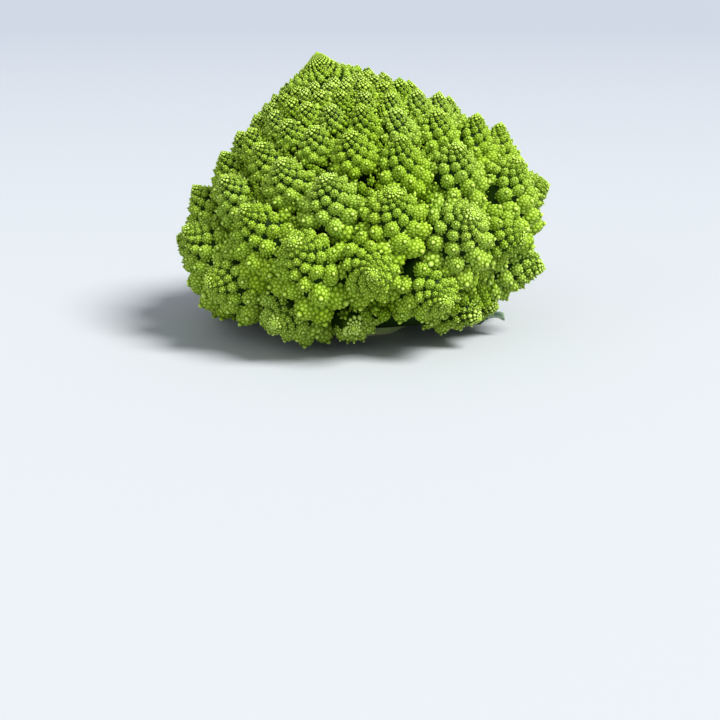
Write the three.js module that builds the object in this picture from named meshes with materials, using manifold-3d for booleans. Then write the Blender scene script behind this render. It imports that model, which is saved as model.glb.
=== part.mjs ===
// Romanesco head, cut and standing on its stalk.
// Millimetres, +Z up, origin at the centre of the stalk's flat cut face, the front looks along -Y.
//
// One growth law makes the head at every level. Buds sit on a dome, each turned by the golden angle from
// the last, and each larger by a share than the one nearer the tip. The head's florets are placed by that
// law, and each floret's own buds are placed by it again. The curd is one skin over all the bud tips that
// can be seen, sunk into a valley between each bud and its neighbours.

import * as THREE from 'three';
import { ConvexHull } from 'three/addons/math/ConvexHull.js';
import Module from 'manifold-3d';

const wasm = await Module();
wasm.setup();

// Head: the dome that the tips of its florets touch. sag draws the part below the waist further down.
const HEAD_DOME = { radius: 110, height: 94.5, power: 0.6, sag: 1.2 };
const HEAD_CENTRE_HEIGHT = 55;
const APEX_ABOVE_CENTRE = 98;
const TILT_TO_LEFT = THREE.MathUtils.degToRad(13);
const PHASE = 5.25;
const RIM_ANGLE = 2.35;
const LOWEST_TIP = 21;

// Florets whose tips would lie lower, down to lowest, are smaller and tucked in under the others at height
const TUCKED = { lowest: -4, size: 0.6, inward: 0.8, height: 18 };

// Growth per bud, small at the apex and rising to the rim
const GOLDEN_ANGLE = Math.PI * (3 - Math.sqrt(5));
const GROWTH_APEX = 0.008;
const GROWTH_RIM = 0.034;
const GROWTH_REACH = 0.6;
const FLORET_GROWTH = 0.07;
const HEX_PACKING = Math.sqrt(3) / 2;

// Florets, in shares of the distance to their neighbours
const FLORET_REACH = 0.6;
const FLORET_HEIGHT = 0.75;
const FLORET_POWER = 0.56;
const FLORET_EDGE_ANGLE = 1.85;
const FLORET_TIP_ANGLE = 0.36;
const FLORET_SIZE_SPREAD = 0.07;
const LOWEST_AIM = -0.25;
const BUD_VALLEY = 0.28;
const FLORET_VALLEY = 0.14;
const CLOSEST_BUDS = 0.55;
const HIDDEN_DEPTH = 2;

// Crown: the cone of single buds inside the ring of the smallest florets
const CROWN_ANGLE = 0.34;
const CROWN_END_ANGLE = 0.05;

// Hollow underside between the lowest florets and the stalk
const UNDERSIDE_RINGS = [{ r: 62, z: 22 }, { r: 46, z: 32 }, { r: 30, z: 38 }];
const UNDERSIDE_POINTS = 14;
const UNDERSIDE_TOP = 40;

// Stalk, its branches to the lowest florets, and the stubs of cut leaves
const STALK = { cutRadius: 26, waistRadius: 24, waistHeight: 10, topRadius: 31, topHeight: 58 };
const STALK_SIDES = 18;
const BRANCH = { florets: 11, startHeight: 24, rootRadius: 10.5, tipRadius: 8, endDepth: 0.75, sides: 8 };
const STUB = { count: 5, reach: 34, rootRadius: 7, endRadius: 5, height: 13, rise: 4 };

// Leaves: direction and roll in degrees, length and width, and how high the middle and the tip lie
const LEAVES = [
  { name: 'leaf_right', direction: -18, roll: -24, length: 62, width: 30, middle: 12, tip: 11 },
  { name: 'leaf_back', direction: 90, roll: 10, length: 86, width: 38, middle: 8, tip: 7 },
  { name: 'leaf_left', direction: 137, roll: 12, length: 80, width: 34, middle: 9, tip: 8 },
];
const LEAF_START = { r: 22, z: 10 };
const LEAF_BEND = 0.55;
const LEAF_STEPS = 16;
const LEAF_COLUMNS = 8;
const COLUMN_CROWDING = 1.3;
const PETIOLE_WIDTH = 6;
const BLADE_FULLEST = 0.75;
const BLADE_ROUNDNESS = 0.8;
const BLADE_THICKNESS = 1;
const MIDRIB = { thickness: 3.6, taper: 0.8 };
const MARGIN_WAVE = { count: 3.5, height: 1.8 };
const TEETH = { count: 9, depth: 0.12 };

// Gap kept between neighbouring pieces
const GAP = 0.35;

const CURD_MATERIAL = new THREE.MeshStandardMaterial({ color: 0x9dbf4a, roughness: 0.6, metalness: 0 });
const STALK_MATERIAL = new THREE.MeshStandardMaterial({ color: 0xc9d49a, roughness: 0.55, metalness: 0 });
const LEAF_MATERIAL = new THREE.MeshStandardMaterial({ color: 0x3f5b4e, roughness: 0.5, metalness: 0 });

const UP = new THREE.Vector3(0, 0, 1);
const DOWN = new THREE.Vector3(0, 0, -1);

// A repeatable draw between -1 and 1 for bud number n, from the far digits of a sine
const DRAW = { step: 12.9898, stream: 78.233, scale: 43758.5453 };

function draw(n, stream) {
  const value = Math.sin((n + 1) * DRAW.step + stream * DRAW.stream) * DRAW.scale;
  return 2 * (value - Math.floor(value)) - 1;
}

// Radius and depth below the tip of a dome's profile at angle t, and how fast both change with t
function profile({ radius, height, power, sag = 0 }, t) {
  const rise = 1 - Math.cos(t);
  const below = Math.max(rise - 1, 0);
  return {
    r: radius * Math.sin(t),
    z: -height * (Math.pow(rise, power) + sag * below * below),
    dr: radius * Math.cos(t),
    dz: -height * (power * Math.pow(rise, power - 1) + 2 * sag * below) * Math.sin(t),
  };
}

function budSpacing(r, growth) {
  return r * Math.sqrt((2 * Math.PI * growth) / HEX_PACKING);
}

// Buds on a dome from its edge towards its tip. Each step inwards is a share of the radius, so that every
// bud has the same room along the profile as round it.
function placeBuds(dome, { fromAngle, toAngle, growthAt, phase }) {
  const buds = [];
  let t = fromAngle;
  while (t > toAngle) {
    const { r, dr, dz } = profile(dome, t);
    const growth = growthAt(t);
    const number = buds.length;
    buds.push({ number, t, turn: phase - number * GOLDEN_ANGLE, spacing: budSpacing(r, growth) });
    t -= (growth * r) / Math.hypot(dr, dz);
  }
  return buds;
}

function headGrowth(t) {
  return GROWTH_APEX + (GROWTH_RIM - GROWTH_APEX) * (1 - Math.exp(-t / GROWTH_REACH));
}

// The head's own axes: its centre above the cut face, tilted to the left
const headToPart = new THREE.Matrix4()
  .makeRotationY(-TILT_TO_LEFT)
  .setPosition(0, 0, HEAD_CENTRE_HEIGHT);
const partToHead = headToPart.clone().invert();

// Tip and outward direction of a floret on the head. No floret aims further down than LOWEST_AIM.
function headFrame({ t, turn, tucked = false }) {
  const { r, z, dr, dz } = profile(HEAD_DOME, t);
  const tip = new THREE.Vector3(r * Math.cos(turn), r * Math.sin(turn), APEX_ABOVE_CENTRE + z);
  const out = new THREE.Vector3(-dz * Math.cos(turn), -dz * Math.sin(turn), dr).transformDirection(headToPart);
  const level = Math.hypot(out.x, out.y);
  const aim = out.setZ(Math.max(out.z, level * Math.tan(LOWEST_AIM))).normalize();
  tip.applyMatrix4(headToPart);
  if (tucked) {
    tip.multiply(new THREE.Vector3(TUCKED.inward, TUCKED.inward, 0)).setZ(TUCKED.height);
  }
  return { tip, aim };
}

// Closed solid from points and the numbers of its triangles' corners
function solid(points, corners) {
  const vertProperties = new Float32Array(points.flatMap((point) => point.toArray()));
  const triVerts = new Uint32Array(corners);
  return new wasm.Manifold(new wasm.Mesh({ numProp: 3, vertProperties, triVerts }));
}

// Matrix that puts a shape drawn along +Z at a point, turned to a direction
function placeAlong(point, direction) {
  const turn = new THREE.Quaternion().setFromUnitVectors(UP, direction);
  return new THREE.Matrix4().makeRotationFromQuaternion(turn).setPosition(point);
}

// Closed body of rings round +Z, from a point at its top to a point at its bottom
function revolved(rings, sides, top, bottom) {
  const points = rings.flatMap(({ r, z }) => {
    const ring = Array.from({ length: sides }, (_, k) => (2 * Math.PI * k) / sides);
    return ring.map((turn) => new THREE.Vector3(r * Math.cos(turn), r * Math.sin(turn), z));
  });
  const topNumber = points.push(new THREE.Vector3(0, 0, top)) - 1;
  const bottomNumber = points.push(new THREE.Vector3(0, 0, bottom)) - 1;
  const lastRing = (rings.length - 1) * sides;
  const corners = [];
  for (let k = 0; k < sides; k += 1) {
    const next = (k + 1) % sides;
    corners.push(topNumber, k, next);
    corners.push(bottomNumber, lastRing + next, lastRing + k);
    for (let low = sides; low <= lastRing; low += sides) {
      const high = low - sides;
      corners.push(high + k, low + k, low + next);
      corners.push(high + k, low + next, high + next);
    }
  }
  return { points, corners };
}

// Tapered round bar between two points
function taperedBar(from, to, fromRadius, toRadius, sides) {
  const along = to.clone().sub(from);
  const length = along.length();
  const rings = [{ r: toRadius, z: length }, { r: fromRadius, z: 0 }];
  const { points, corners } = revolved(rings, sides, length, 0);
  const place = placeAlong(from, along.normalize());
  return solid(points.map((point) => point.applyMatrix4(place)), corners);
}

// The head's profile in fine steps. psi is the latitude of each step on the ball.
const PROFILE_STEPS = 900;
const headProfile = [];
for (let k = 1; k < PROFILE_STEPS; k += 1) {
  const t = (Math.PI * k) / PROFILE_STEPS;
  const { r, z, dr, dz } = profile(HEAD_DOME, t);
  const speed = Math.hypot(dr, dz);
  const psi = k === 1 ? 0 : headProfile.at(-1).psi + (speed / r) * (Math.PI / PROFILE_STEPS);
  headProfile.push({ r, z: APEX_ABOVE_CENTRE + z, psi, outR: -dz / speed, outZ: dr / speed });
}
const waistPsi = headProfile[Math.floor(PROFILE_STEPS / 2)].psi;

// Where a point lies on the head's dome: its direction on the ball, and the way out of the dome there
function onHead(point) {
  const { x, y, z } = point.clone().applyMatrix4(partToHead);
  const r = Math.hypot(x, y);
  const turn = Math.atan2(y, x);
  let nearest = headProfile[0];
  let least = Infinity;
  for (const step of headProfile) {
    const distance = (r - step.r) ** 2 + (z - step.z) ** 2;
    if (distance < least) {
      least = distance;
      nearest = step;
    }
  }
  const fromPole = 2 * Math.atan(Math.exp(nearest.psi - waistPsi));
  const reach = Math.sin(fromPole);
  const { outR, outZ } = nearest;
  const out = new THREE.Vector3(outR * Math.cos(turn), outR * Math.sin(turn), outZ);
  return {
    direction: new THREE.Vector3(reach * Math.cos(turn), reach * Math.sin(turn), Math.cos(fromPole)),
    out: out.transformDirection(headToPart),
  };
}

// One floret: its axes on the head, its dome, and its buds' tips in the head's frame
function makeFloret(place) {
  const { tip, aim } = headFrame(place);
  const room = place.tucked ? TUCKED.size * place.spacing : place.spacing;
  const size = room * (1 + FLORET_SIZE_SPREAD * draw(place.number, 1));
  const dome = { radius: FLORET_REACH * size, height: FLORET_HEIGHT * size, power: FLORET_POWER };
  const matrix = placeAlong(tip, aim);
  const buds = placeBuds(dome, {
    fromAngle: FLORET_EDGE_ANGLE,
    toAngle: FLORET_TIP_ANGLE,
    growthAt: () => FLORET_GROWTH,
    phase: place.number,
  }).map(({ t, turn, spacing }) => {
    const { r, z } = profile(dome, t);
    const point = new THREE.Vector3(r * Math.cos(turn), r * Math.sin(turn), z).applyMatrix4(matrix);
    return { point, spacing, floret: place.number, size };
  });
  buds.push({ ...buds.at(-1), point: tip });
  return { number: place.number, dome, inverse: matrix.clone().invert(), buds };
}

// Whether a point is hidden inside a floret's dome or just behind it
function isInside(point, { dome, inverse }) {
  const local = point.clone().applyMatrix4(inverse);
  const share = Math.hypot(local.x, local.y) / dome.radius;
  return share < 1 && local.z < profile(dome, Math.asin(share)).z && local.z > -HIDDEN_DEPTH * dome.height;
}

// Every bud of the curd that can be seen, from the crown to the underside
function visibleBuds(places) {
  const florets = places.filter(({ t }) => t > CROWN_ANGLE).map(makeFloret);
  const crown = places.filter(({ t }) => t <= CROWN_ANGLE);
  const shown = crown.map((place) => {
    const { number, spacing } = place;
    return { point: headFrame(place).tip, spacing, floret: number, size: spacing };
  });
  for (const { number, buds } of florets) {
    const others = florets.filter((other) => other.number !== number);
    shown.push(...buds.filter(({ point }) => !others.some((other) => isInside(point, other))));
  }
  UNDERSIDE_RINGS.forEach(({ r, z }, ring) => {
    for (let k = 0; k < UNDERSIDE_POINTS; k += 1) {
      const turn = (2 * Math.PI * (k + 0.5 * ring)) / UNDERSIDE_POINTS;
      const point = new THREE.Vector3(r * Math.cos(turn), r * Math.sin(turn), z);
      shown.push({ point, spacing: 0, floret: -2, size: 0 });
    }
  });
  return shown;
}

// Leaves out each bud that lies too close to one already kept
function wellSpaced(buds) {
  const kept = [];
  for (const bud of buds) {
    const closest = (other) => CLOSEST_BUDS * Math.min(bud.spacing, other.spacing);
    if (kept.every((other) => bud.point.distanceTo(other.point) > closest(other))) {
      kept.push(bud);
    }
  }
  return kept;
}

// Corner numbers of the triangles that join each bud to its neighbours, from their directions on the ball
function neighbourTriangles(directions) {
  const hull = new ConvexHull().setFromPoints(directions);
  const numberOf = new Map(directions.map((direction, number) => [direction, number]));
  return hull.faces.map((face) => [0, 1, 2].map((k) => numberOf.get(face.getEdge(k).head().point)));
}

// The curd as one closed body with one pyramid for each bud. A pyramid's foot runs through the valleys
// between the bud and its neighbours, which are sunk into the head, and further between two florets.
function makeCurd(places) {
  const buds = wellSpaced(visibleBuds(places));
  const points = buds.map(({ point }) => point);
  points.push(new THREE.Vector3(0, 0, APEX_ABOVE_CENTRE).applyMatrix4(headToPart));
  points.push(new THREE.Vector3(0, 0, UNDERSIDE_TOP));
  buds.push({ spacing: 0, floret: -1, size: 0 }, { spacing: 0, floret: -2, size: 0 });
  const directions = points.slice(0, -2).map((point) => onHead(point).direction);
  directions.push(UP.clone(), DOWN.clone());
  const valleyLeftOf = new Map();
  for (const [a, b, c] of neighbourTriangles(directions)) {
    for (const [from, to] of [[a, b], [b, c], [c, a]]) {
      valleyLeftOf.set(`${from},${to}`, points.length);
    }
    const middle = points[a].clone().add(points[b]).add(points[c]).divideScalar(3);
    const three = [buds[a], buds[b], buds[c]];
    const oneFloret = new Set(three.map(({ floret }) => floret)).size === 1;
    const depth = BUD_VALLEY * Math.min(...three.map(({ spacing }) => spacing));
    const cleft = oneFloret ? 0 : FLORET_VALLEY * Math.min(...three.map(({ size }) => size));
    points.push(middle.addScaledVector(onHead(middle).out, -depth - cleft));
  }
  const corners = [];
  for (const [edge, left] of valleyLeftOf) {
    const [from, to] = edge.split(',').map(Number);
    corners.push(from, valleyLeftOf.get(`${to},${from}`), left);
  }
  return solid(points, corners);
}

// Stalk with its branches and leaf stubs. skin thickens it, to cut room for it out of its neighbours.
function makeStalk(florets, skin = 0) {
  const { cutRadius, waistRadius, waistHeight, topRadius, topHeight } = STALK;
  const rings = [
    { r: topRadius + skin, z: topHeight + skin },
    { r: waistRadius + skin, z: waistHeight },
    { r: cutRadius + skin, z: -skin },
  ];
  const trunk = revolved(rings, STALK_SIDES, topHeight + skin, -skin);
  let body = solid(trunk.points, trunk.corners);
  for (const place of florets.filter(({ tucked }) => !tucked).slice(0, BRANCH.florets)) {
    const { tip, aim } = headFrame(place);
    const start = new THREE.Vector3(0, 0, BRANCH.startHeight);
    const end = tip.addScaledVector(aim, -BRANCH.endDepth * place.spacing + skin);
    const { rootRadius, tipRadius, sides } = BRANCH;
    body = body.add(taperedBar(start, end, rootRadius + skin, tipRadius + skin, sides));
  }
  for (let k = 0; k < STUB.count; k += 1) {
    const turn = k * GOLDEN_ANGLE;
    const height = STUB.height + STUB.rise * draw(k, 2);
    const start = new THREE.Vector3(0, 0, height);
    const reach = STUB.reach + skin;
    const end = new THREE.Vector3(reach * Math.cos(turn), reach * Math.sin(turn), height + STUB.rise);
    body = body.add(taperedBar(start, end, STUB.rootRadius + skin, STUB.endRadius + skin, BRANCH.sides));
  }
  return body;
}

// Half width of a leaf at a share u of its length: a narrow petiole, a toothed blade and a pointed tip
function leafHalfWidth(width, u) {
  const blade = Math.pow(Math.sin(Math.PI * Math.pow(u, BLADE_FULLEST)), BLADE_ROUNDNESS);
  const tooth = 1 - TEETH.depth * Math.abs(Math.sin(Math.PI * TEETH.count * u));
  return 0.5 * (PETIOLE_WIDTH + width * blade * tooth);
}

// One leaf: a waved blade with a raised midrib below, its two faces split into triangles alike
function makeLeaf({ direction, roll, length, width, middle, tip }, skin = 0) {
  const turn = THREE.MathUtils.degToRad(direction);
  const out = new THREE.Vector3(Math.cos(turn), Math.sin(turn), 0);
  const across = new THREE.Vector3(-Math.sin(turn), Math.cos(turn), 0);
  across.applyAxisAngle(out, THREE.MathUtils.degToRad(roll));
  const reach = LEAF_START.r + length + skin;
  const spine = new THREE.QuadraticBezierCurve3(
    out.clone().multiplyScalar(LEAF_START.r).setZ(LEAF_START.z),
    out.clone().multiplyScalar(LEAF_BEND * reach).setZ(middle),
    out.clone().multiplyScalar(reach).setZ(tip),
  );
  const upper = [];
  const lower = [];
  for (let i = 0; i <= LEAF_STEPS; i += 1) {
    const u = i / LEAF_STEPS;
    const halfWidth = leafHalfWidth(width, u) + skin;
    const ribDepth = Math.max(MIDRIB.thickness * (1 - MIDRIB.taper * u) - BLADE_THICKNESS, 0);
    for (let j = 0; j <= LEAF_COLUMNS; j += 1) {
      const even = (2 * j) / LEAF_COLUMNS - 1;
      const v = Math.sign(even) * Math.pow(Math.abs(even), COLUMN_CROWDING);
      const wave = Math.sin(2 * Math.PI * MARGIN_WAVE.count * u + direction + v);
      const point = spine.getPoint(u).addScaledVector(across, halfWidth * v);
      point.z += MARGIN_WAVE.height * v * v * wave;
      const below = j === LEAF_COLUMNS / 2 ? ribDepth : 0;
      upper.push(point.clone().setZ(point.z + 0.5 * BLADE_THICKNESS + skin));
      lower.push(point.clone().setZ(point.z - 0.5 * BLADE_THICKNESS - below - skin));
    }
  }
  const points = [...upper, ...lower];
  const under = upper.length;
  const row = LEAF_COLUMNS + 1;
  const corners = [];
  for (let i = 0; i < LEAF_STEPS; i += 1) {
    for (let j = 0; j < LEAF_COLUMNS; j += 1) {
      const a = i * row + j;
      const b = a + row;
      corners.push(a, b, b + 1, a, b + 1, a + 1);
      corners.push(under + a, under + b + 1, under + b, under + a, under + a + 1, under + b + 1);
    }
  }
  const margin = [];
  for (let j = 0; j < LEAF_COLUMNS; j += 1) margin.push(j);
  for (let i = 0; i < LEAF_STEPS; i += 1) margin.push(i * row + LEAF_COLUMNS);
  for (let j = LEAF_COLUMNS; j > 0; j -= 1) margin.push(LEAF_STEPS * row + j);
  for (let i = LEAF_STEPS; i > 0; i -= 1) margin.push(i * row);
  margin.forEach((from, k) => {
    const to = margin[(k + 1) % margin.length];
    corners.push(from, to, under + to, from, under + to, under + from);
  });
  return solid(points, corners);
}

// Mesh of the largest body of a solid, which leaves out the scraps of a cut
function meshOf(name, body, material) {
  const [largest] = body.decompose().sort((a, b) => b.volume() - a.volume());
  const { vertProperties, triVerts } = largest.getMesh();
  const geometry = new THREE.BufferGeometry();
  geometry.setAttribute('position', new THREE.BufferAttribute(new Float32Array(vertProperties), 3));
  geometry.setIndex(new THREE.BufferAttribute(new Uint32Array(triVerts), 1));
  geometry.computeVertexNormals();
  const mesh = new THREE.Mesh(geometry, material);
  mesh.name = name;
  return mesh;
}

const grown = placeBuds(HEAD_DOME, {
  fromAngle: RIM_ANGLE,
  toAngle: CROWN_END_ANGLE,
  growthAt: headGrowth,
  phase: PHASE,
}).map((place) => ({ ...place, height: headFrame(place).tip.z }));
const places = grown
  .filter(({ height }) => height > TUCKED.lowest)
  .map((place) => ({ ...place, tucked: place.height < LOWEST_TIP }));
const stalkRoom = makeStalk(places, GAP);

let curd = makeCurd(places).subtract(stalkRoom);
for (const shape of LEAVES) {
  curd = curd.subtract(makeLeaf(shape, GAP));
}

const head = new THREE.Group();
head.add(meshOf('curd', curd, CURD_MATERIAL));
head.add(meshOf('stalk', makeStalk(places), STALK_MATERIAL));
for (const shape of LEAVES) {
  head.add(meshOf(shape.name, makeLeaf(shape).subtract(stalkRoom), LEAF_MATERIAL));
}

export default head;
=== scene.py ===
# %% [markdown]
# # A romanesco head
#
# Romanesco is a flower vegetable that repeats one shape at every size. The head is a cone of florets,
# each floret is a cone of buds, and each bud is a dome of still smaller bumps. This script makes those
# three levels with one growth law. It starts by loading the solid model, whose pieces give every size.

import math

import bpy
import numpy as np
from mathutils import Matrix, Vector
from mathutils.geometry import delaunay_2d_cdt


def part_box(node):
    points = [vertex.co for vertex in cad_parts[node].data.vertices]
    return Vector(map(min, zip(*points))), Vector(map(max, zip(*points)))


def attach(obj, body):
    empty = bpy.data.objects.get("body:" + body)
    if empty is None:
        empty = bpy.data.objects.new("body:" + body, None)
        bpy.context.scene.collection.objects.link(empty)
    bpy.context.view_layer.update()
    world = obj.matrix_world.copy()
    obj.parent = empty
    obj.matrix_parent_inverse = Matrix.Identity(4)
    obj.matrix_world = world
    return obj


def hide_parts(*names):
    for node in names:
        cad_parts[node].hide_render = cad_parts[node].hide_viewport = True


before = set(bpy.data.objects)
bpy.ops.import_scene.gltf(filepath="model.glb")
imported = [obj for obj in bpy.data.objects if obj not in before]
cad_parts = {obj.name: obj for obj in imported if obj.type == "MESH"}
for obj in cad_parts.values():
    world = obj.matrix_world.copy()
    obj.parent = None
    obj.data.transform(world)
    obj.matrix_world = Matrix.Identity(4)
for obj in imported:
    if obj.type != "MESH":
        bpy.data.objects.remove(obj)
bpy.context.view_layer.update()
for node in sorted(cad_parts):
    low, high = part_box(node)
    print(node, "mm:", [round(1000 * (b - a), 1) for a, b in zip(low, high)])

# %% [markdown]
# ## The growth law
#
# A growing tip sets out one bud after another, each turned by the golden angle from the last. Older buds
# have been pushed further out and have grown in proportion. So on a dome, walking from the rim to the
# tip, each step is the same share of the local radius, and the room for a bud shrinks with the radius.
# One could scatter buds at random instead, but only this law gives the two crossing families of spirals.
# A dome here is a dictionary: its radius and height, and a power that makes it round at 1 and a cone at
# 0.5. A sag draws it in below its widest place, and a point is a small extra tip.

# %% Golden-angle growth on a dome
GOLDEN_ANGLE = math.pi * (3 - math.sqrt(5))
HEX_PACKING = math.sqrt(3) / 2
DRAW_STEP, DRAW_STREAM, DRAW_SCALE = 12.9898, 78.233, 43758.5453
# The stream of draws that each varied thing uses
FLORET_SIZE_STREAM, BUD_SIZE_STREAM, BUD_SPIN_STREAM, TONE_STREAM, STUB_STREAM = 1, 2, 6, 7, 2
BUD_LEAN_STREAMS, FLORET_LEAN_STREAMS = (3, 4, 5), (8, 9, 10)


def draw(n, stream):
    """A repeatable draw between -1 and 1 for number n, from the far digits of a sine."""
    value = math.sin((n + 1) * DRAW_STEP + stream * DRAW_STREAM) * DRAW_SCALE
    return 2 * (value - math.floor(value)) - 1


def profile(dome, t):
    """Radius, depth below the tip and their slopes, at angle t on a dome's profile."""
    rise = 1 - math.cos(t)
    below = max(rise - 1, 0)
    sag = dome.get("sag", 0)
    slope = dome["power"] * rise ** (dome["power"] - 1) + 2 * sag * below
    radius, widening = dome["radius"] * math.sin(t), dome["radius"] * math.cos(t)
    reach = dome.get("point_reach", 1)
    point = dome.get("point", 0) * math.exp(-(radius / reach) ** 2)
    return (radius,
            -dome["height"] * (rise ** dome["power"] + sag * below * below) + point,
            widening,
            -dome["height"] * slope * math.sin(t) - 2 * point * radius * widening / reach ** 2)


def sunk(dome, t, depth):
    """Radius and height of a dome's profile, sunk by a depth."""
    r, z, dr, dz = profile(dome, t)
    slope = math.hypot(dr, dz)
    return max(r + depth * dz / slope, 0), z - depth * dr / slope


def spacing_at(radius, growth):
    """Distance between neighbouring buds at a radius."""
    return radius * math.sqrt(2 * math.pi * growth / HEX_PACKING)


def grow(dome, start, stop, growth_at, phase):
    """Buds from the rim to the tip as dictionaries of number, t, turn and spacing."""
    buds, t = [], start
    while t > stop:
        r, _, dr, dz = profile(dome, t)
        growth = growth_at(t)
        number = len(buds)
        buds.append({"number": number, "t": t, "turn": phase - number * GOLDEN_ANGLE,
                     "spacing": spacing_at(r, growth)})
        t -= growth * r / math.hypot(dr, dz)
    return buds


print("golden angle in degrees:", round(math.degrees(GOLDEN_ANGLE), 2))

# %% [markdown]
# ## The head's own axes
#
# The head leans to the left on its stalk. Its florets sit on one big dome, and those that would hang too
# low are smaller and tucked in under their neighbours. The florets of the crown don't point straight out
# but lean up towards the tip of the head, and this lean dies away towards the rim. Working out a frame
# for every floret first, before any mesh is made, keeps the form of the head in a few numbers.

# %% Florets on the head
HEAD_DOME = {"radius": 0.110, "height": 0.0945, "power": 0.6, "sag": 1.2,
             "point": 0.004, "point_reach": 0.007}
HEAD_CENTRE_HEIGHT = 0.055
APEX_ABOVE_CENTRE = 0.098
TILT_TO_LEFT = math.radians(13)
PHASE = 5.25
RIM_ANGLE = 2.35
CROWN_END_ANGLE = 0.022
GROWTH_APEX, GROWTH_RIM, GROWTH_REACH = 0.008, 0.034, 0.6
LOWEST_TIP = 0.021
LOWEST_AIM = -0.25
AIM_LIFT, AIM_LIFT_REACH = 0.32, 1.55
TUCKED = {"lowest": -0.004, "size": 0.66, "inward": 0.86, "height": 0.018}

head_to_part = Matrix.Translation((0, 0, HEAD_CENTRE_HEIGHT)) @ Matrix.Rotation(-TILT_TO_LEFT, 4, "Y")


def head_growth(t):
    """Share by which each floret is larger than the one inside it."""
    return GROWTH_APEX + (GROWTH_RIM - GROWTH_APEX) * (1 - math.exp(-t / GROWTH_REACH))


def head_frame(place, depth=0.0):
    """Point of the head under a place's tip, sunk by a depth, and the outward direction there."""
    _, _, dr, dz = profile(HEAD_DOME, place["t"])
    r, z = sunk(HEAD_DOME, place["t"], depth)
    cos, sin = math.cos(place["turn"]), math.sin(place["turn"])
    tip = head_to_part @ Vector((r * cos, r * sin, APEX_ABOVE_CENTRE + z))
    lift = AIM_LIFT * math.exp(-(place["t"] / AIM_LIFT_REACH) ** 4)
    side, up = -dz - lift * dr, dr - lift * dz
    out = head_to_part.to_3x3() @ Vector((side * cos, side * sin, up)).normalized()
    out.z = max(out.z, math.hypot(out.x, out.y) * math.tan(LOWEST_AIM))
    if place.get("tucked"):
        tip = Vector((TUCKED["inward"] * tip.x, TUCKED["inward"] * tip.y, TUCKED["height"]))
    return tip, out.normalized()


places = grow(HEAD_DOME, RIM_ANGLE, CROWN_END_ANGLE, head_growth, PHASE)
places = [place for place in places if head_frame(place)[0].z > TUCKED["lowest"]]
for place in places:
    place["tucked"] = head_frame(place)[0].z < LOWEST_TIP
print("florets:", len(places), "tucked in:", sum(place["tucked"] for place in places))

# %% [markdown]
# ## Florets
#
# A floret is a cone with a rounded flank, a small copy of the whole head. One could model a floret once
# and copy it, but no two florets of a real head are alike. So each gets its own draw for its size and for
# a slight lean. The smallest ones, round the very tip of the head, are too small to carry buds.

# %% Florets
FLORET_REACH, FLORET_HEIGHT, FLORET_POWER = 0.62, 0.82, 0.56
FLORET_SIZE_SPREAD = 0.12
FLORET_LEAN = 0.08
SMALLEST_FLORET = 0.0062
SMALLEST_CROWN_BUD = 0.0006
UP = Vector((0, 0, 1))


def along(point, direction):
    """Matrix that puts a shape drawn along +Z at a point, turned to a direction."""
    return Matrix.Translation(point) @ UP.rotation_difference(direction).to_matrix().to_4x4()


def make_floret(place):
    """One floret: its axes, its dome and its size."""
    tip, aim = head_frame(place)
    aim += FLORET_LEAN * Vector([draw(place["number"], stream) for stream in FLORET_LEAN_STREAMS])
    aim.normalize()
    room = TUCKED["size"] * place["spacing"] if place["tucked"] else place["spacing"]
    size = room * (1 + FLORET_SIZE_SPREAD * draw(place["number"], FLORET_SIZE_STREAM))
    dome = {"radius": FLORET_REACH * size, "height": FLORET_HEIGHT * size, "power": FLORET_POWER}
    matrix = along(tip, aim)
    return {"number": place["number"], "t": place["t"], "size": size, "dome": dome, "tip": tip,
            "aim": aim, "matrix": matrix, "inverse": matrix.inverted(), "tucked": place["tucked"],
            "room": place["spacing"]}


florets = [make_floret(place) for place in places]
large = [floret for floret in florets if floret["size"] >= SMALLEST_FLORET]
small = [floret for floret in florets if SMALLEST_CROWN_BUD <= floret["size"] < SMALLEST_FLORET]
print("florets with buds:", len(large), "too small for buds:", len(small))

# %% [markdown]
# ## Buds on a floret
#
# The buds of a floret follow the same law on its own dome. Every bud points out from the dome, leans a
# little to the floret's tip and has a small draw of its own. Buds at the floret's edge lie deeper between
# their neighbours, so their colour is darkened as painted shade, and none is let down to the floor.

# %% Buds on the florets
FLORET_GROWTH = 0.05
FLORET_EDGE_ANGLE = 1.95
FLORET_TIP_ANGLE = 0.04
SMALLEST_BUD = 0.0010
BUD_SIZE_SPREAD = 0.06
BUD_LEAN = 0.06
BUD_TO_TIP = 0.12
LOWEST_BUD = 0.0028
# Painted shade: the shade of buds at a floret's edge is scaled by this factor, less so further in
EDGE_DIMNESS, EDGE_END = 0.74, 0.35
KEYS_PER_FLORET = 1000


def floret_buds(floret):
    """Buds of a floret as dictionaries of point, aim, spacing and share of the way to its tip."""
    dome, matrix = floret["dome"], floret["matrix"]
    buds = []
    for bud in grow(dome, FLORET_EDGE_ANGLE, FLORET_TIP_ANGLE, lambda t: FLORET_GROWTH, floret["number"]):
        r, z, dr, dz = profile(dome, bud["t"])
        cos, sin = math.cos(bud["turn"]), math.sin(bud["turn"])
        out = Vector((-dz * cos, -dz * sin, dr)).normalized()
        aim = matrix.to_3x3() @ (out + BUD_TO_TIP * UP).normalized()
        key = KEYS_PER_FLORET * floret["number"] + bud["number"]
        aim += BUD_LEAN * Vector([draw(key, stream) for stream in BUD_LEAN_STREAMS])
        inner = 1 - bud["t"] / FLORET_EDGE_ANGLE
        point = matrix @ Vector((r * cos, r * sin, z))
        point.z = max(point.z, LOWEST_BUD)
        buds.append({"key": key, "point": point, "aim": aim.normalized(),
                     "spacing": bud["spacing"] * (1 + BUD_SIZE_SPREAD * draw(key, BUD_SIZE_STREAM)),
                     "inner": inner, "floret": floret,
                     "dim": EDGE_DIMNESS + (1 - EDGE_DIMNESS) * min(inner / EDGE_END, 1)})
    return buds


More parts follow.
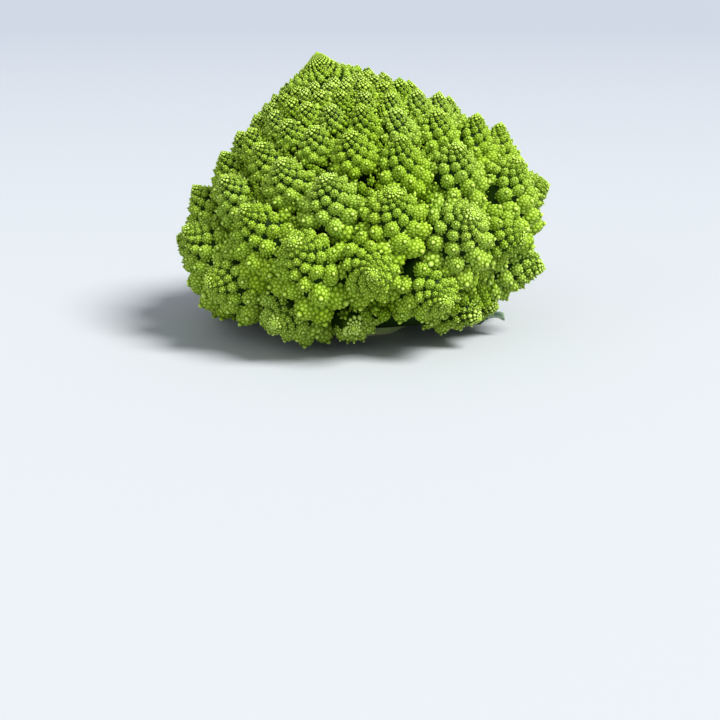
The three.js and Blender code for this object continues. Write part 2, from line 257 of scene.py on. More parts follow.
buds = [bud for floret in large for bud in floret_buds(floret) if bud["spacing"] >= SMALLEST_BUD]
buds += [{"key": KEYS_PER_FLORET * floret["number"], "point": floret["tip"], "aim": floret["aim"],
          "spacing": floret["size"], "inner": 0.5, "floret": floret} for floret in small]
print("buds grown:", len(buds))

# %% [markdown]
# ## Buds that can't be seen
#
# Florets grow into one another, and a bud that ends up inside a neighbouring floret can't be seen. It is
# left out, which saves a fifth of the buds. A bud close to the edge of a neighbour, or under the head,
# shows little of itself and makes do with fewer faces. Two leaves lie under the curd, and a bud that
# would poke through one of them is left out too.

# %% Leave out hidden buds
HIDDEN_DEPTH = 1.6
CLEARLY_HIDDEN, PARTLY_HIDDEN = 0.88, 1.0
PARTLY_HIDDEN_FINENESS = 0.55
UNDERSIDE_ANGLE, UNDERSIDE_FINENESS = 1.95, 0.75
BUD_HALF_WIDTH = 0.5
LEAVES_UNDER_CURD = [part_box(node) for node in ("leaf_back", "leaf_left")]


def hidden_in(points, floret, scale):
    """Which points lie inside a floret's dome at some scale, or just behind it."""
    dome = floret["dome"]
    inverse = np.array(floret["inverse"])
    local = points @ inverse[:3, :3].T + inverse[:3, 3]
    share = np.hypot(local[:, 0], local[:, 1]) / (scale * dome["radius"])
    rise = 1 - np.sqrt(np.clip(1 - share ** 2, 0, 1))
    roof = -dome["height"] * rise ** dome["power"] - (1 - scale) * dome["height"]
    return (share < 1) & (local[:, 2] < roof) & (local[:, 2] > -HIDDEN_DEPTH * dome["height"])


def left_to_see(buds, florets, hidden_scale):
    """The buds that no floret but their own hides. Those near the edge need fewer faces."""
    points = np.array([bud["point"] for bud in buds])
    owners = np.array([bud["floret"]["number"] for bud in buds])
    hidden = np.zeros(len(buds), bool)
    partly = np.zeros(len(buds), bool)
    for floret in florets:
        other = owners != floret["number"]
        hidden |= hidden_in(points, floret, hidden_scale) & other
        partly |= hidden_in(points, floret, PARTLY_HIDDEN) & other
    for bud, edge in zip(buds, partly):
        below = bud["floret"]["t"] > UNDERSIDE_ANGLE
        bud["fineness"] = (PARTLY_HIDDEN_FINENESS if edge else 1) * (UNDERSIDE_FINENESS if below else 1)
    return [bud for bud, gone in zip(buds, hidden) if not gone]


def through_a_leaf(bud):
    """Whether a bud would poke through one of the leaves that lie under the curd."""
    x, y, z = bud["point"]
    lowest = z - BUD_HALF_WIDTH * bud["spacing"]
    return any(low[0] < x < high[0] and low[1] < y < high[1] and lowest < high[2]
               for low, high in LEAVES_UNDER_CURD)


buds = [bud for bud in left_to_see(buds, large, CLEARLY_HIDDEN) if not through_a_leaf(bud)]
print("buds left to see:", len(buds))

# %% [markdown]
# ## Small buds in the gaps
#
# Where florets stand a little apart, a real head shows more small buds deep between them, never a bare
# skin. They follow the same spirals as the florets, only finer, on a surface sunk below the head's, and
# are darkened as painted shade.

# %% Buds in the gaps
GAP_DEPTH = 0.5
GAP_SHARE = 0.035
GAP_END_ANGLE = 0.3
GAP_SINK = 0.25
# Painted shade on the buds deep in the gaps
GAP_DIMNESS = 0.75
GAP_HIDDEN = 0.8

gap_buds = []
for place in grow(HEAD_DOME, RIM_ANGLE, GAP_END_ANGLE, lambda t: GAP_SHARE * head_growth(t), PHASE):
    room = place["spacing"] / math.sqrt(GAP_SHARE)
    point, aim = head_frame(place, GAP_DEPTH * room - (1 - GAP_SINK) * BUD_HALF_WIDTH * place["spacing"])
    if point.z > LOWEST_TIP:
        key = -1 - place["number"]
        nearest = {"number": key, "t": place["t"]}
        gap_buds.append({"key": key, "point": point, "aim": aim, "floret": nearest, "inner": 0.0,
                         "spacing": place["spacing"] * (1 + BUD_SIZE_SPREAD * draw(key, BUD_SIZE_STREAM)),
                         "dim": GAP_DIMNESS})
grown = len(gap_buds)
gap_buds = left_to_see(gap_buds, large, GAP_HIDDEN)
print("gap buds grown:", grown, "left to see:", len(gap_buds))
buds += gap_buds

# %% [markdown]
# ## One bud, made of bumps
#
# A bud is a dome with the growth law's third level on it. The bumps at the rim are the largest and stand
# out like a star, and a tiny nipple in a ring of deeper valleys with painted shade marks the tip. Each
# bump has a place on the dome and a place in a flat plane where each step of growth is the same share of
# the radius. The flat places are what the next step joins into faces.

# %% Places of the bumps
BUD_DOME = {"radius": 0.5, "height": 0.8, "power": 0.8}
BUD_RIM_ANGLE, LEAST_ANGLE = 1.9, 1e-3
NIPPLE_RISE = 0.3
SAMPLE_BUD = {"rim_growth": 0.115, "tip_growth": 0.165, "count": 15}


def bud_sites(rim_growth, tip_growth, count):
    """Places of the bumps on a bud whose spacing is one, from its rim to the nipple at its tip."""
    sites, t, steps = [], BUD_RIM_ANGLE, 0.0
    for number in range(count):
        growth = rim_growth + (tip_growth - rim_growth) * number / count
        r, z, dr, dz = profile(BUD_DOME, t)
        cos, sin = math.cos(-number * GOLDEN_ANGLE), math.sin(-number * GOLDEN_ANGLE)
        plane = math.exp(-steps)
        sites.append({"point": np.array([r * cos, r * sin, z]),
                      "out": np.array([-dz * cos, -dz * sin, dr]) / math.hypot(dr, dz),
                      "spacing": spacing_at(r, growth), "rim": plane,
                      "plane": (plane * cos, plane * sin)})
        t = max(t - growth * r / math.hypot(dr, dz), LEAST_ANGLE)
        steps += growth
    inmost = sites[-1]["spacing"]
    sites.append({"point": np.array([0, 0, NIPPLE_RISE * inmost]), "out": np.array([0, 0, 1.0]),
                  "spacing": inmost, "rim": 0.0, "plane": (0.0, 0.0)})
    return sites


print("bumps of a small bud:", len(bud_sites(**SAMPLE_BUD)))

# %% [markdown]
# ## From bumps to a closed skin
#
# A heap of small balls would be simpler, but it has hidden faces inside and holes between the balls. So
# the bumps are joined to their neighbours by a Delaunay triangulation, and a valley is sunk at the middle
# of each triangle. Every bump then is a small cell of its own, and the bud is one watertight skin that
# closes at a root point. Larger bumps get a ring half way down that rounds them, and the finest do
# without it. Each point also gets a shade that the material paints as colour: painted shade, dark in the
# valleys, and light on the bumps.

# %% One bud from its bumps
RIM_VALLEY, FACE_VALLEY, NIPPLE_VALLEY = 0.32, 0.18, 0.3
BUMP_ROUNDNESS, MIDDLE_SHARE = 0.32, 0.55
ROOT_DEPTH = 1.1
# Painted shade of the bumps: darker towards a bud's rim, in the valleys between them, and in the ring
# round the nipple
RIM_SHADE, MIDDLE_SHADE, FACE_VALLEY_SHADE, NIPPLE_VALLEY_SHADE = 0.68, 0.88, 0.4, 0.2
WHOLE_HULL, MERGE_DISTANCE = 0, 1e-9


def bud_template(rim_growth, tip_growth, count, round_count):
    """Points, face corners, face sizes and shades of a bud whose spacing is one."""
    sites = bud_sites(rim_growth, tip_growth, count)
    flat = [Vector(site["plane"]) for site in sites]
    _, _, triangles, origins, _, _ = delaunay_2d_cdt(flat, [], [], WHOLE_HULL, MERGE_DISTANCE)
    triangles = [[origins[corner][0] for corner in triangle] for triangle in triangles]

    points = [site["point"] for site in sites]
    shades = [1 - (1 - RIM_SHADE) * site["rim"] for site in sites]
    valleys = [False] * len(points)
    left_of, cells = {}, {}
    for a, b, c in triangles:
        least = min(sites[k]["spacing"] for k in (a, b, c))
        rim = sum(sites[k]["rim"] for k in (a, b, c)) / 3
        out = sum(sites[k]["out"] for k in (a, b, c))
        middle = sum(sites[k]["point"] for k in (a, b, c)) / 3
        depth = FACE_VALLEY + (RIM_VALLEY - FACE_VALLEY) * rim
        if count in (a, b, c):
            depth = NIPPLE_VALLEY
        for edge in ((a, b), (b, c), (c, a)):
            left_of[edge] = len(points)
        points.append(middle - depth * least * out / np.linalg.norm(out))
        shades.append(FACE_VALLEY_SHADE * (1 - rim) if count not in (a, b, c) else NIPPLE_VALLEY_SHADE)
        valleys.append(True)
    for a, b in left_of:
        cells.setdefault(a, []).append(b)
    whole = {a for a, around in cells.items() if all((b, a) in left_of for b in around)}

    corners, sizes, middles = [], [], {}

    def face(*numbers):
        corners.extend(numbers)
        sizes.append(len(numbers))

    def middle_of(site, valley):
        if (site, valley) not in middles:
            middles[site, valley] = len(points)
            fall = points[valley] - points[site]
            out = sites[site]["out"]
            points.append(points[site] + MIDDLE_SHARE * fall - BUMP_ROUNDNESS * fall.dot(out) * out)
            shades.append(MIDDLE_SHADE * shades[site])
            valleys.append(False)
        return middles[site, valley]

    root = len(points)
    points.append(np.array([0, 0, -ROOT_DEPTH]))
    shades.append(0.0)
    valleys.append(True)
    for (a, b), left in list(left_of.items()):
        if a not in whole:
            continue
        right = left_of[b, a]
        if a < round_count or a == count:
            inner_right, inner_left = middle_of(a, right), middle_of(a, left)
            face(a, inner_right, inner_left)
            face(inner_right, right, left, inner_left)
        else:
            face(a, right, left)
        if b not in whole:
            face(right, root, left)
    used = sorted(set(corners))
    renumber = np.zeros(len(points), int)
    renumber[used] = np.arange(len(used))
    return {"points": np.array(points)[used], "corners": renumber[corners], "sizes": np.array(sizes),
            "shades": np.array(shades)[used], "valleys": np.array(valleys)[used],
            "triangles": int(sum(size - 2 for size in sizes))}


print("triangles of a small bud:", bud_template(**SAMPLE_BUD, round_count=0)["triangles"])

# %% [markdown]
# ## Round bodies
#
# The cores of the florets, the stalk and its branches, and the very finest buds are round about an axis.
# Each is given by a list of rings, and a point at its top and bottom closes it. Blender's own cones and
# cylinders have two rings only, and with rings of one's own a body can swell and taper.

# %% Bodies round an axis
def ring_faces(rings, sides, top, bottom):
    """Corners and sizes of the faces round an axis, from a top point to a bottom point."""
    corners, sizes = [], []
    for k in range(sides):
        after = (k + 1) % sides
        corners += [top, k, after]
        sizes.append(3)
        for ring in range(rings - 1):
            high, low = ring * sides, (ring + 1) * sides
            corners += [high + k, low + k, low + after, high + after]
            sizes.append(4)
        last = (rings - 1) * sides
        corners += [bottom, last + after, last + k]
        sizes.append(3)
    return corners, sizes


def revolve(rings, sides, top, bottom):
    """Points and faces of a closed body round +Z. Each ring is its radius and height."""
    turns = 2 * np.pi * np.arange(sides) / sides
    circle = np.stack([np.cos(turns), np.sin(turns), np.zeros(sides)], 1)
    points = [r * circle + (0, 0, z) for r, z in rings]
    points += [np.array([[0, 0, top]]), np.array([[0, 0, bottom]])]
    count = len(rings) * sides
    corners, sizes = ring_faces(len(rings), sides, count, count + 1)
    return np.concatenate(points), corners, sizes


print("faces of a body with two rings of six sides:", len(revolve([(1, 0), (1, -1)], 6, 1, -2)[2]))

# %% [markdown]
# ## The very finest buds
#
# Round the tip of every floret the buds are under two and a half millimetres, and their bumps could not
# be seen. A low round dome with a pale tip and a rim darkened as painted shade stands in for such a bud,
# with a few faces.

# %% A plain bud
FINE_DOME = {"radius": 0.52, "height": 0.62, "power": 1.0}
FINE_ANGLES, FINE_SIDES = (0.7, 1.45), 6
# Shades of the plain bud's two rings: light near the tip, and painted shade at the rim
FINE_SHADES = (0.72, 0.08)


def plain_template(angles, sides, shades):
    """A smooth round dome for the finest buds, with one ring and one shade for each angle."""
    rings = [profile(FINE_DOME, t)[:2] for t in angles]
    points, corners, sizes = revolve(rings, sides, 0, -ROOT_DEPTH)
    shades = np.concatenate([np.repeat(shades, sides), [1.0, 0.0]])
    return {"points": points, "corners": np.array(corners), "sizes": np.array(sizes), "shades": shades,
            "valleys": np.zeros(len(points), bool), "triangles": int(sum(size - 2 for size in sizes))}


plain_bud = plain_template(FINE_ANGLES, FINE_SIDES, FINE_SHADES)
print("triangles of a plain bud:", plain_bud["triangles"])

# %% [markdown]
# ## A template for each size
#
# A bud of more than a centimetre shows dozens of bumps, and one of a millimetre none. So there are six
# templates, and each bud takes the finest one that it is large enough for. One template for all would
# either leave the large buds bare or make millions of faces that nobody can see.

# %% Templates from large to small
# Least spacing of the buds that use each template, then its growth at rim and tip, its number of bumps,
# and how many of them are rounded
BUMPY_BUDS = (
    (0.0115, 0.022, 0.050, 76, 40),
    (0.0084, 0.031, 0.065, 55, 22),
    (0.0060, 0.044, 0.085, 40, 10),
    (0.0039, 0.066, 0.115, 26, 0),
    (0.0024, 0.115, 0.165, 15, 0),
)
TEMPLATES = [(least, bud_template(*rest)) for least, *rest in BUMPY_BUDS]
TEMPLATES.append((0.0, plain_bud))


def template_for(bud):
    """The finest template that a bud is large enough for."""
    size = bud["spacing"] * bud["fineness"]
    return next(template for least, template in TEMPLATES if size >= least)


for least, template in TEMPLATES:
    users = sum(template_for(bud) is template for bud in buds)
    print("buds from", 1000 * least, "mm:", users, "of", template["triangles"], "triangles")

# %% [markdown]
# ## A slow bend through space
#
# Copies of one template would all have the same outline. A few slow waves through space bend everything
# a little, each place in its own way, so that no two buds stay alike. A modifier could do this too, but
# on plain number arrays it costs nothing.

# %% Slow waves
WARPS = [  # amplitude in metres, then waves per metre along X, Y and Z
    (0.0007, (61, 47, 39)),
    (0.0005, (-103, 89, 127)),
    (0.00025, (251, -223, 181)),
]


def warp(points):
    """Points bent by a few slow waves."""
    bent = points.copy()
    for amplitude, waves in WARPS:
        for axis in range(3):
            phase = points @ np.roll(waves, axis) + axis
            bent[:, axis] += amplitude * np.sin(phase)
    return bent


print("largest bend in mm:", round(1000 * sum(amplitude for amplitude, _ in WARPS), 2))

# %% [markdown]
# ## From templates to meshes
#
# Each bud is a copy of its template, scaled, turned about its own axis and placed, and all copies of
# a zone are joined in one mesh with plain number arrays. That takes a second, where thousands of Blender
# objects would take minutes. Each vertex also carries what the material needs to know: its shade from
# crevice to tip, its floret's own tone, and how far in on the floret it is.

# %% Mesh builder
class Shell:
    """Points and faces that are collected and then turned into one Blender mesh."""

    def __init__(self):
        self.points, self.corners, self.sizes, self.count = [], [], [], 0
        self.creased, self.fields = [], {}

    def add(self, points, corners, sizes, creased=False, **fields):
        """Adds points and faces. Each field is one value or one value for each point."""
        self.points.append(points)
        self.creased.append(np.broadcast_to(np.asarray(creased), len(points)))
        self.corners.append(np.asarray(corners) + self.count)
        self.sizes.append(np.asarray(sizes))
        for name, values in fields.items():
            spread = np.broadcast_to(np.asarray(values, float), len(points))
            self.fields.setdefault(name, []).append(spread)
        self.count += len(points)

    def triangles(self):
        """Number of triangles that the faces come to."""
        return int(sum((sizes - 2).sum() for sizes in self.sizes))

    def build(self, name, material):
        """The Blender object, smooth but for creases along the valleys."""
        points = np.concatenate(self.points)
        corners = np.concatenate(self.corners).astype(np.int32)
        sizes = np.concatenate(self.sizes)
        mesh = bpy.data.meshes.new(name)
        mesh.vertices.add(len(points))
        mesh.vertices.foreach_set("co", points.astype(np.float32).ravel())
        mesh.loops.add(len(corners))
        mesh.loops.foreach_set("vertex_index", corners)
        mesh.polygons.add(len(sizes))
        starts = np.concatenate([[0], np.cumsum(sizes)[:-1]]).astype(np.int32)
        mesh.polygons.foreach_set("loop_start", starts)
        mesh.update(calc_edges=True)
        mesh.polygons.foreach_set("use_smooth", np.ones(len(sizes), bool))
        for field, parts in self.fields.items():
            attribute = mesh.attributes.new(field, "FLOAT", "POINT")
            attribute.data.foreach_set("value", np.concatenate(parts).astype(np.float32))
        creased = np.concatenate(self.creased)
        if creased.any():
            ends = np.empty(2 * len(mesh.edges), np.int32)
            mesh.edges.foreach_get("vertices", ends)
            crease = mesh.attributes.new("sharp_edge", "BOOLEAN", "EDGE")
            crease.data.foreach_set("value", creased[ends].reshape(-1, 2).all(axis=1))
        mesh.materials.append(material)
        piece = bpy.data.objects.new(name, mesh)
        bpy.context.scene.collection.objects.link(piece)
        print(name, "triangles:", self.triangles())
        return piece


def add_bud(shell, bud):
    """Adds one bud to a shell."""
    template = template_for(bud)
    spin = Matrix.Rotation(math.pi * draw(bud["key"], BUD_SPIN_STREAM), 4, "Z")
    place = np.array(along(bud["point"], bud["aim"]) @ spin)
    points = bud["spacing"] * template["points"] @ place[:3, :3].T + place[:3, 3]
    # The template's painted shade, darkened by the bud's own painted shade at a floret's edge or deep in a
    # gap
    shell.add(warp(points), template["corners"], template["sizes"], creased=template["valleys"],
              shade=bud.get("dim", 1) * template["shades"],
              tone=draw(bud["floret"]["number"], TONE_STREAM), inner=bud["inner"])


sample = Shell()
add_bud(sample, buds[0])
print("points of the first bud:", sample.count)

# %% [markdown]
# ## Effects that the materials share
#
# No skin of a plant has one even colour, and none is perfectly smooth. A picture could be wrapped round
# it, but a procedural material needs no flattening of this crumpled shape and stays sharp at any
# distance. Two effects are used by the curd, the stalk and the leaves alike, so each is a node group:
# mottling, which shifts a colour in soft patches and specks, and grain, a fine height for the bump.

# %% Shared node groups
PATCH_DETAIL, SPECK_DETAIL, GRAIN_DETAIL = 3, 2, 1
LEAST_ROUGHNESS, ROUGHNESS_SPREAD = 0.38, 0.25
COARSE_SCALE = 0.3


def node_group(name, inputs, outputs):
    """A new shader node group with float or colour sockets, and its input and output nodes."""
    group = bpy.data.node_groups.new(name, "ShaderNodeTree")
    for socket, kind, value in inputs:
        made = group.interface.new_socket(socket, in_out="INPUT", socket_type=kind)
        made.default_value = value
    for socket, kind in outputs:
        group.interface.new_socket(socket, in_out="OUTPUT", socket_type=kind)
    return group, group.nodes.new("NodeGroupInput"), group.nodes.new("NodeGroupOutput")


def noise(tree, scale, detail):
    """A noise texture over the object's own coordinates."""
    place = tree.nodes.new("ShaderNodeTexCoord")
    node = tree.nodes.new("ShaderNodeTexNoise")
    node.inputs["Detail"].default_value = detail
    tree.links.new(place.outputs["Object"], node.inputs["Vector"])
    if isinstance(scale, (int, float)):
        node.inputs["Scale"].default_value = scale
    else:
        tree.links.new(scale, node.inputs["Scale"])
    return node


def math_node(tree, operation, first, second, third=None):
    """A math node on sockets or plain numbers, and its result."""
    node = tree.nodes.new("ShaderNodeMath")
    node.operation = operation
    for socket, value in zip(node.inputs, (first, second, third)):
        if isinstance(value, (int, float)):
            socket.default_value = value
        elif value is not None:
            tree.links.new(value, socket)
    return node.outputs[0]


def mix_colours(tree, share, first, second):
    """Two colours mixed by a share, and the result."""
    node = tree.nodes.new("ShaderNodeMix")
    node.data_type = "RGBA"
    for name, value in (("Factor", share), ("A", first), ("B", second)):
        kind = "VALUE" if name == "Factor" else "RGBA"
        socket = next(s for s in node.inputs if s.name == name and s.type == kind)
        if isinstance(value, (int, float)):
            socket.default_value = value
        elif isinstance(value, tuple):
            socket.default_value = (*value, 1)
        else:
            tree.links.new(value, socket)
    return next(s for s in node.outputs if s.type == "RGBA")


def make_mottling():
    """Shifts a colour towards another in soft patches and fine specks."""
    group, source, sink = node_group("mottling", [
        ("Color", "NodeSocketColor", (0.5, 0.5, 0.5, 1)),
        ("Patch Color", "NodeSocketColor", (0.5, 0.5, 0.5, 1)),
        ("Patch Scale", "NodeSocketFloat", 40),
        ("Patch Strength", "NodeSocketFloat", 0.5),
        ("Speck Scale", "NodeSocketFloat", 900),
        ("Speck Strength", "NodeSocketFloat", 0.2),
    ], [("Color", "NodeSocketColor"), ("Roughness", "NodeSocketFloat")])
    patches = noise(group, source.outputs["Patch Scale"], PATCH_DETAIL).outputs["Fac"]
    specks = noise(group, source.outputs["Speck Scale"], SPECK_DETAIL).outputs["Fac"]
    share = math_node(group, "MULTIPLY", patches, source.outputs["Patch Strength"])
    patched = mix_colours(group, share, source.outputs["Color"], source.outputs["Patch Color"])
    level = math_node(group, "MULTIPLY_ADD", specks, source.outputs["Speck Strength"], 1)
    half = math_node(group, "MULTIPLY", source.outputs["Speck Strength"], 0.5)
    level = math_node(group, "SUBTRACT", level, half)
    scale = group.nodes.new("ShaderNodeVectorMath")
    scale.operation = "SCALE"
    group.links.new(patched, scale.inputs[0])
    group.links.new(level, scale.inputs["Scale"])
    group.links.new(scale.outputs[0], sink.inputs["Color"])
    rough = math_node(group, "MULTIPLY_ADD", patches, ROUGHNESS_SPREAD, LEAST_ROUGHNESS)
    group.links.new(rough, sink.inputs["Roughness"])
    return group


def make_grain():
    """Two sizes of noise as one height."""
    group, source, sink = node_group("skin grain", [
        ("Scale", "NodeSocketFloat", 1500),
        ("Coarse Share", "NodeSocketFloat", 0.4),
    ], [("Height", "NodeSocketFloat")])
    fine = noise(group, source.outputs["Scale"], GRAIN_DETAIL).outputs["Fac"]
    coarse_scale = math_node(group, "MULTIPLY", source.outputs["Scale"], COARSE_SCALE)
    coarse = noise(group, coarse_scale, GRAIN_DETAIL).outputs["Fac"]
    height = math_node(group, "MULTIPLY_ADD", coarse, source.outputs["Coarse Share"], fine)
    group.links.new(height, sink.inputs["Height"])
    return group


MOTTLING = make_mottling()
GRAIN = make_grain()
print("node groups:", MOTTLING.name, "and", GRAIN.name)

# %% [markdown]
# ## Helpers for the plant's materials
#
# The three materials are wired in the same way: a mesh attribute chooses a colour on a ramp, mottling
# shifts it, and grain feeds the bump. What they have in common is written once here, and each material
# then only says its colours and strengths.

# %% Helpers for the materials
def use_group(tree, group, **values):
    """A group node with plain values on its sockets, spaces in their names written as underscores."""
    node = tree.nodes.new("ShaderNodeGroup")
    node.node_tree = group
    for name, value in values.items():
        socket = node.inputs[name.replace("_", " ")]
        socket.default_value = (*value, 1) if isinstance(value, tuple) else value
    return node


def attribute(tree, name):
    """A mesh attribute as a float socket."""
    node = tree.nodes.new("ShaderNodeAttribute")
    node.attribute_name = name
    return node.outputs["Fac"]


def ramp_over(tree, name, first, last, between=()):
    """A colour ramp over a mesh attribute, with stops between its ends, and its colour."""
    ramp = tree.nodes.new("ShaderNodeValToRGB")
    stops = ramp.color_ramp.elements
    stops[0].color, stops[1].color = (*first, 1), (*last, 1)
    for place, colour in between:
        stops.new(place).color = (*colour, 1)
    tree.links.new(attribute(tree, name), ramp.inputs["Fac"])
    return ramp.outputs["Color"]


def plant_material(name, bump, distance):
    """A material with its Principled shader, bump fed by grain, and its tree."""
    material = bpy.data.materials.new(name)
    material.use_nodes = True
    tree = material.node_tree
    shader = tree.nodes["Principled BSDF"]
    node = tree.nodes.new("ShaderNodeBump")
    node.inputs["Strength"].default_value = bump
    node.inputs["Distance"].default_value = distance
    tree.links.new(node.outputs["Normal"], shader.inputs["Normal"])
    return material, tree, shader, node


def wire_skin(tree, shader, bump, colour, mottled, grain):
    """Sends a colour through mottling to the shader, and grain to the bump."""
    tree.links.new(colour, mottled.inputs["Color"])
    tree.links.new(mottled.outputs["Color"], shader.inputs["Base Color"])
    tree.links.new(mottled.outputs["Roughness"], shader.inputs["Roughness"])
    tree.links.new(grain.outputs["Height"], bump.inputs["Height"])


print("nodes in each group:", len(MOTTLING.nodes), "and", len(GRAIN.nodes))

# %% [markdown]
# ## The curd's skin
#
# Fresh curd is waxy and a little translucent. Its colour carries painted light: near black painted shade
# in the crevices, and pale yellow-green tips that are partly their own colour and partly painted
# highlight.
# Its shade runs from a valley to a tip, so one ramp over it gives all four tones. The tips turn paler by
# floret and towards each floret's middle, a pale mix kept to the lightest shade as painted highlight. The
# gloss is kept very low, because a real head has a velvety bloom.

# %% The curd's material
# Painted light: the crevice colour is painted shade, the shady colour a lighter painted shade, and the tip
# colour partly painted highlight
CREVICE_PAINTED_SHADE = (0.006, 0.02, 0.0005)
SHADY_COLOUR = (0.03, 0.075, 0.001)
FLANK_COLOUR = (0.22, 0.39, 0.004)
TIP_COLOUR_AND_HIGHLIGHT = (0.49, 0.66, 0.13)
YELLOW_PATCH = (0.52, 0.56, 0.03)
# A pale colour mixed into the tips, more for some florets and towards each floret's middle, kept to the
# lightest shade as painted highlight
PALE_TONE_AND_HIGHLIGHT = (0.7, 0.8, 0.46)
SHADY_STOP, FLANK_STOP = 0.24, 0.62
PALENESS, PALENESS_SPREAD, INNER_PALENESS = 0.14, 0.1, 0.12
PALENESS_AT_TIPS = 2.5
# The yellow patches grow with the shade, so they don't lighten the painted shade of the crevices
YELLOW_SHARE = 0.3


def make_curd_material():
    """Painted shade in the crevices, green flanks and pale tips partly of painted highlight, mottled, with
    a fine velvety grain.
    """
    material, tree, shader, bump = plant_material("curd", bump=0.5, distance=0.0004)
    green = ramp_over(tree, "shade", CREVICE_PAINTED_SHADE, TIP_COLOUR_AND_HIGHLIGHT,
                      [(SHADY_STOP, SHADY_COLOUR), (FLANK_STOP, FLANK_COLOUR)])
    pale = math_node(tree, "MULTIPLY_ADD", attribute(tree, "tone"), PALENESS_SPREAD, PALENESS)
    pale = math_node(tree, "MULTIPLY_ADD", attribute(tree, "inner"), INNER_PALENESS, pale)
    # Painted highlight: a power of the shade keeps the pale mix to the lightest tips
    tips = math_node(tree, "POWER", attribute(tree, "shade"), PALENESS_AT_TIPS)
    pale = math_node(tree, "MULTIPLY", pale, tips)
    toned = mix_colours(tree, pale, green, PALE_TONE_AND_HIGHLIGHT)
    mottled = use_group(tree, MOTTLING, Patch_Color=YELLOW_PATCH, Patch_Scale=55, Speck_Scale=1400,
                        Speck_Strength=0.35)
    patches = math_node(tree, "MULTIPLY", attribute(tree, "shade"), YELLOW_SHARE)
    tree.links.new(patches, mottled.inputs["Patch Strength"])
    grain = use_group(tree, GRAIN, Scale=1500, Coarse_Share=0.6)
    wire_skin(tree, shader, bump, toned, mottled, grain)
    shader.inputs["Specular IOR Level"].default_value = 0.05
    shader.inputs["Subsurface Weight"].default_value = 0.05
    shader.inputs["Subsurface Radius"].default_value = (0.6, 1.0, 0.25)
    shader.inputs["Subsurface Scale"].default_value = 0.0015
    return material


curd_material = make_curd_material()
print("made", curd_material.name, "with", len(curd_material.node_tree.nodes), "nodes")

# %% [markdown]
# ## The stalk's skin
#
# The stalk is paler than the curd, and its cut face is moist and nearly white. An attribute named cut,
# set where the stalk was cut, chooses between the two.

# %% The stalk's material
STALK_SKIN, STALK_CUT, STALK_PATCH = (0.36, 0.5, 0.14), (0.78, 0.8, 0.52), (0.6, 0.68, 0.34)


def make_stalk_material():
    """Pale green skin and a moist, whitish cut face."""
    material, tree, shader, bump = plant_material("stalk", bump=0.4, distance=0.0006)
    green = ramp_over(tree, "cut", STALK_SKIN, STALK_CUT)
    mottled = use_group(tree, MOTTLING, Patch_Color=STALK_PATCH, Patch_Scale=90, Patch_Strength=0.5,
                        Speck_Scale=1200, Speck_Strength=0.2)
    grain = use_group(tree, GRAIN, Scale=800, Coarse_Share=1.0)
    wire_skin(tree, shader, bump, green, mottled, grain)
    shader.inputs["Subsurface Weight"].default_value = 0.1
    shader.inputs["Subsurface Scale"].default_value = 0.002
    return material


stalk_material = make_stalk_material()
print("made", stalk_material.name, "with", len(stalk_material.node_tree.nodes), "nodes")

# %% [markdown]
# ## The leaves' skin
#
# The leaves are dark blue-green with a bloom of wax, and their ribs and veins are pale. The vein
# attribute is worked out with the blade itself, so the pale lines lie exactly on the raised ones.

# %% The leaves' material
BLADE_COLOUR, VEIN_COLOUR, BLADE_PATCH = (0.02, 0.052, 0.038), (0.3, 0.42, 0.24), (0.07, 0.15, 0.1)


def make_leaf_material():
    """Dark blue-green waxy blade with pale veins."""
    material, tree, shader, bump = plant_material("leaf", bump=0.35, distance=0.0005)
    green = ramp_over(tree, "vein", BLADE_COLOUR, VEIN_COLOUR)
    mottled = use_group(tree, MOTTLING, Patch_Color=BLADE_PATCH, Patch_Scale=120, Patch_Strength=0.5,
                        Speck_Scale=2000, Speck_Strength=0.25)
    grain = use_group(tree, GRAIN, Scale=1800, Coarse_Share=0.8)
    wire_skin(tree, shader, bump, green, mottled, grain)
    shader.inputs["Sheen Weight"].default_value = 0.08
    return material


leaf_material = make_leaf_material()
print("made", leaf_material.name, "with", len(leaf_material.node_tree.nodes), "nodes")

# %% [markdown]
# ## Cores of the curd
#
# Under the buds each floret has a plain core, and the head has one too, dark with the crevices' painted
# shade.
# Without the cores one could see between two buds right through the head. A core is its dome sunk by a
# share of the room that a bud has there, so it is near the skin where the buds are small and deep where
# they are large.

# %% Cores
CORE_DEPTH = 0.5
CORE_RINGS, CORE_SIDES = 8, 10
CORE_RING_CROWDING = 1.6
CORE_ROOT = 1.5
CORE_TIP_ANGLE, CORE_TIP_SHADE = 0.3, 0.75
HEAD_CORE_DEPTH = 0.68
HEAD_CORE_RINGS, HEAD_CORE_SIDES = 30, 48
HEAD_CORE_TIP_ANGLE = 0.05
CORE_LOWEST, CORE_FLATNESS = 0.022, 0.25


def core_angles(count, widest):
    """Angles of a core's rings, closer together towards its tip."""
    return [widest * ((ring + 1) / count) ** CORE_RING_CROWDING for ring in range(count)]


def core_shades(angles, sides, tip_angle):
    """Shades of a core's rings, tip and root: pale at the very tip, and painted shade under the buds."""
    rings = [CORE_TIP_SHADE * max(1 - t / tip_angle, 0) for t in angles]
    return np.concatenate([np.repeat(rings, sides), [CORE_TIP_SHADE, 0.0]])


